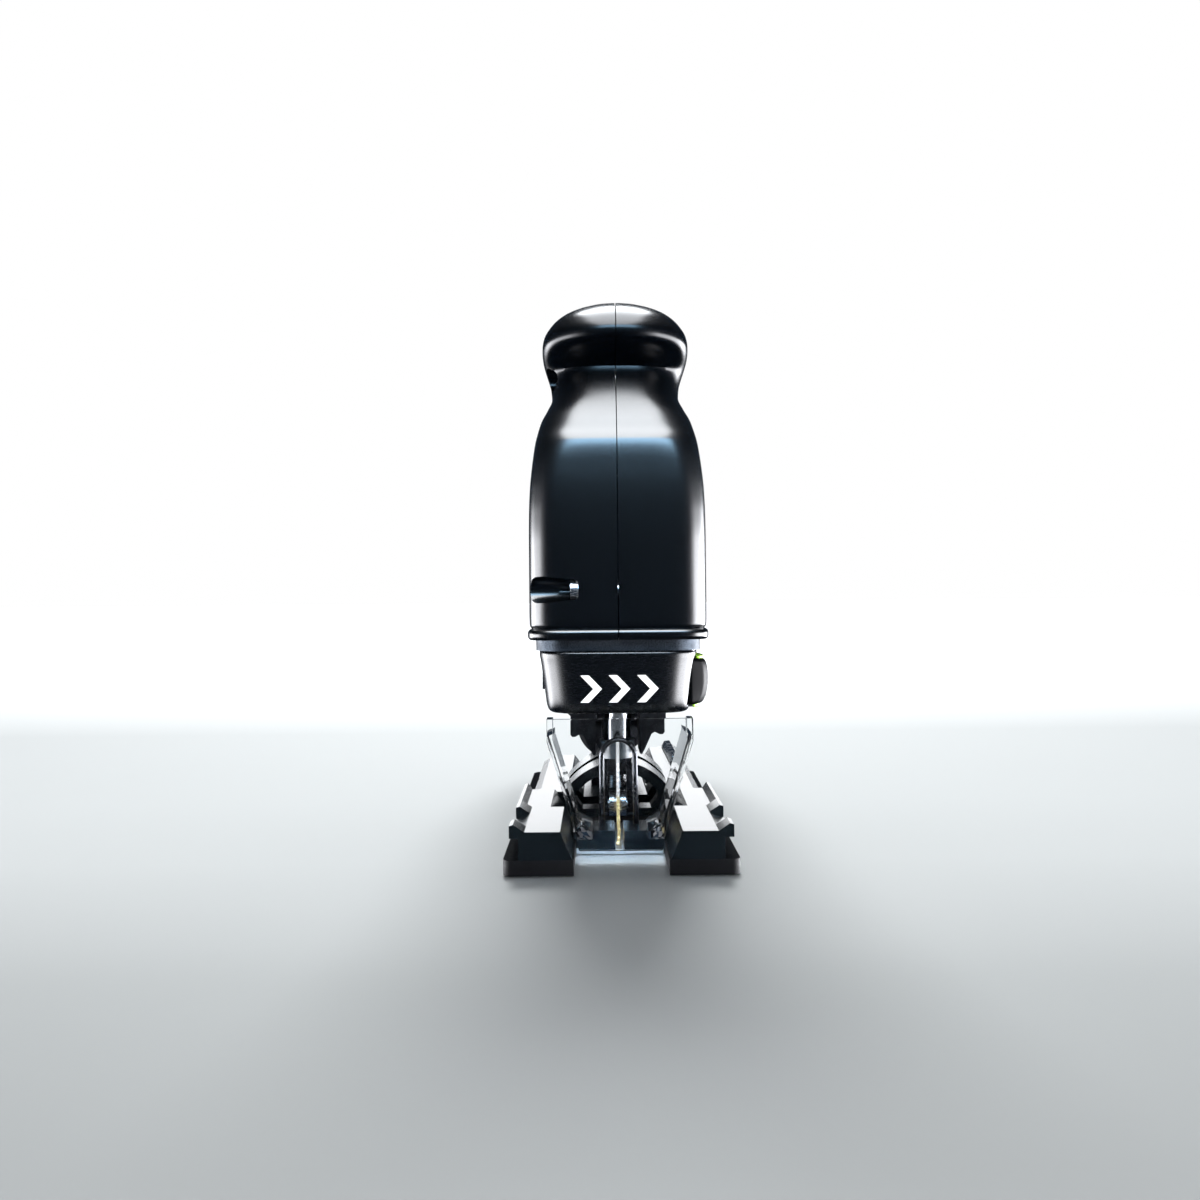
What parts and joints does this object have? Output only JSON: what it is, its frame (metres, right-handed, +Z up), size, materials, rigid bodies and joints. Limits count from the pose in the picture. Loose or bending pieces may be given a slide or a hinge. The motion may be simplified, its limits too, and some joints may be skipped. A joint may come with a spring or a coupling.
{
  "type": "jigsaw power tool",
  "caption": "Corded barrel-grip jigsaw with a tilting base, clear chip guard, scotch-yoke drive, orbital blade guide and tool-free blade clamp.",
  "frame": {"origin": "centre of the base's running face, on the tilt axis at half the overall length", "axes": "+Z up out of the workpiece, +Y to the rear (the blade cuts towards -Y), +X to the left of a user who stands behind the tool and looks along -Y"},
  "size_m": [0.076, 0.262, 0.193],
  "materials": {
    "shell": "fine grained moulded plastic",
    "soft_grip": "soft matte elastomer",
    "cast_head": "bead blasted die casting",
    "gloss_cover": "high gloss",
    "mark": "satin white",
    "lever_black": "satin gloss",
    "accent_green": "satin bright green",
    "dark_plastic": "satin",
    "steel": "ground",
    "steel_dark": "black oxide",
    "bronze": "sintered bronze",
    "copper": "enamelled copper",
    "lamination": "varnished sheet stack",
    "carbon": "dull",
    "board": "solder mask",
    "brass_part": "machined",
    "blade_steel": "bright ground",
    "table": "satin powder coat",
    "sole": "matte",
    "clear": "clear polycarbonate",
    "seal": "felt and rubber",
    "insert": "translucent plastic"
  },
  "bodies": {
    "machine": {"housing_left": "shell", "housing_right": "shell", "housing_screws": "steel", "grip_cover": "soft_grip", "gear_case": "cast_head", "head_cover": "gloss_cover", "head_cover_screws": "steel", "direction_mark": "mark", "lever_pin": "steel", "switch_module": "dark_plastic", "control_board": "board", "inlet_socket": "dark_plastic", "inlet_pins": "brass_part", "stator_stack": "lamination", "field_coils": "copper", "front_bearing": "steel", "rear_bearing": "steel", "brush_holders": "brass_part", "brushes": "carbon", "gear_axle": "steel", "upper_bush": "bronze", "lower_bush": "bronze", "plunger_seal": "seal", "fork_pivot_pin": "steel", "tilt_screw": "steel", "tilt_washer": "steel"},
    "armature": {"armature_shaft": "steel", "armature_stack": "lamination", "commutator": "copper", "fan": "dark_plastic", "pinion": "steel"},
    "crank": {"drive_gear": "steel", "gear_bearing": "bronze"},
    "roller_on_crank": {"crank_roller": "steel"},
    "ram": {"plunger": "steel", "yoke": "steel_dark", "blade_clamp": "steel_dark", "clamp_spring": "steel", "blade": "blade_steel"},
    "blade_lever": {"release_lever": "lever_black", "lever_trim": "accent_green"},
    "selector": {"orbit_selector": "dark_plastic"},
    "switch": {"switch_pads": "accent_green", "switch_bridge": "dark_plastic"},
    "dial": {"speed_dial": "dark_plastic"},
    "fork": {"roller_fork": "steel_dark", "roller_pin": "steel"},
    "roller": {"guide_roller": "steel"},
    "base": {"base_table": "table", "running_sole": "sole", "sole_screws": "steel", "splinter_guard": "insert", "finger_bow": "steel_dark", "dust_port": "dark_plastic", "hex_key": "steel"},
    "guard": {"chip_guard": "clear"}
  },
  "joints": [
    {"name": "blade_stroke", "type": "slide", "parent": "machine", "child": "ram", "axis": [0, 0, 1], "range_m": [-0.013, 0.013]},
    {"name": "crank_turn", "type": "hinge", "parent": "machine", "child": "crank", "pos_m": [0, -0.064, 0.096], "axis": [0, -1, 0], "range_deg": [-90, 90]},
    {"name": "crank_roller_spin", "type": "hinge", "parent": "crank", "child": "roller_on_crank", "pos_m": [0.013, -0.07, 0.096], "axis": [0, -1, 0], "continuous": true},
    {"name": "armature_turn", "type": "hinge", "parent": "machine", "child": "armature", "pos_m": [0, 0.001, 0.121], "axis": [0, -1, 0], "range_deg": [-465, 465]},
    {"name": "blade_release", "type": "hinge", "parent": "machine", "child": "blade_lever", "pos_m": [0.025, -0.1, 0.0593], "axis": [0, 0, -1], "range_deg": [0, 60], "stiffness_Nm_per_rad": 0.02},
    {"name": "orbit_select", "type": "hinge", "parent": "machine", "child": "selector", "pos_m": [-0.024, -0.0625, 0.06], "axis": [-1, 0, 0], "range_deg": [0, 90]},
    {"name": "switch_slide", "type": "slide", "parent": "machine", "child": "switch", "axis": [0, -1, 0], "range_m": [0, 0.006]},
    {"name": "speed_select", "type": "hinge", "parent": "machine", "child": "dial", "pos_m": [0, 0.083, 0.146], "axis": [1, 0, 0], "range_deg": [-150, 150]},
    {"name": "pendulum_swing", "type": "hinge", "parent": "machine", "child": "fork", "pos_m": [0, -0.066, 0.0436], "axis": [1, 0, 0], "range_deg": [0, 3]},
    {"name": "guide_roller_spin", "type": "hinge", "parent": "fork", "child": "roller", "pos_m": [0, -0.0751, 0.0112], "axis": [1, 0, 0], "continuous": true},
    {"name": "base_tilt", "type": "hinge", "parent": "machine", "child": "base", "pos_m": [0, -0.043, 0], "axis": [0, 1, 0], "range_deg": [-45, 45]},
    {"name": "guard_pull", "type": "slide", "parent": "base", "child": "guard", "axis": [0, -1, 0], "range_m": [0, 0.03]}
  ],
  "couplings": [
    {"joint": "crank_turn", "follows": "blade_stroke", "rad_per_m": 120.83},
    {"joint": "armature_turn", "follows": "blade_stroke", "rad_per_m": -619.26}
  ]
}
